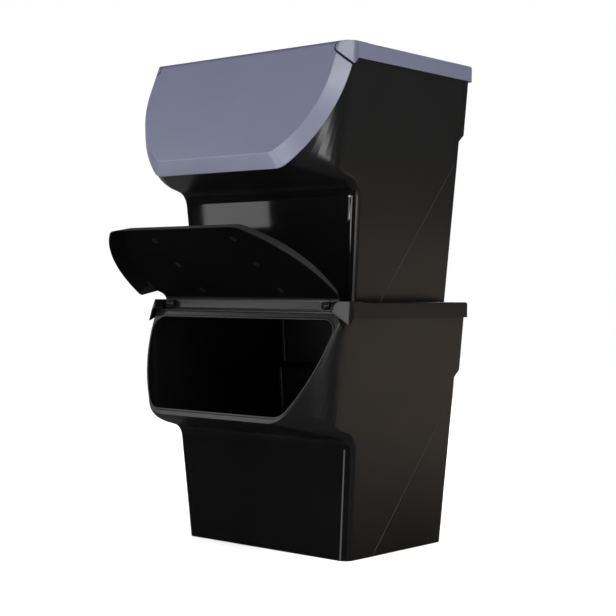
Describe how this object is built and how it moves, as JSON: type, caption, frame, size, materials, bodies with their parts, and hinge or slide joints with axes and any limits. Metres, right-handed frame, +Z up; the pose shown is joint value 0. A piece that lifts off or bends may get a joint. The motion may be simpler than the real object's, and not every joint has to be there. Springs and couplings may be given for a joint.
{
  "type": "stacking potato storage bin",
  "caption": "Two stacked vegetable bins, each a hopper-mouthed tub with a clip-on cover and a hinged front flap; the lower flap stands open.",
  "frame": {"origin": "middle of the lower tub's base, on the plane that its foot ring stands on", "axes": "+Z up; -Y out of the front, where the mouths and flaps are; X across the front, with +X on the right-hand side of someone who faces the front"},
  "size_m": [0.349, 0.3922, 0.6334],
  "materials": {
    "black_plastic": "satin, gloss on the recessed front wall",
    "violet_grey_plastic": "satin"
  },
  "bodies": {
    "lower_bin": {"lower_tub": "black_plastic", "lower_cover": "black_plastic"},
    "lower_flap": {"lower_flap": "black_plastic"},
    "upper_bin": {"upper_tub": "black_plastic", "upper_cover": "violet_grey_plastic"},
    "upper_flap": {"upper_flap": "violet_grey_plastic"}
  },
  "joints": [
    {"name": "lower_flap_hinge", "type": "hinge", "parent": "lower_bin", "child": "lower_flap", "pos_m": [0, -0.139, 0.3152], "axis": [-1, 0, 0], "range_deg": [-103, 15]},
    {"name": "upper_flap_hinge", "type": "hinge", "parent": "upper_bin", "child": "upper_flap", "pos_m": [0, -0.134, 0.6279], "axis": [-1, 0, 0], "range_deg": [0, 118]},
    {"name": "upper_bin_lift", "type": "slide", "parent": "lower_bin", "child": "upper_bin", "axis": [0, 0, 1], "range_m": [0, 0.05]}
  ]
}
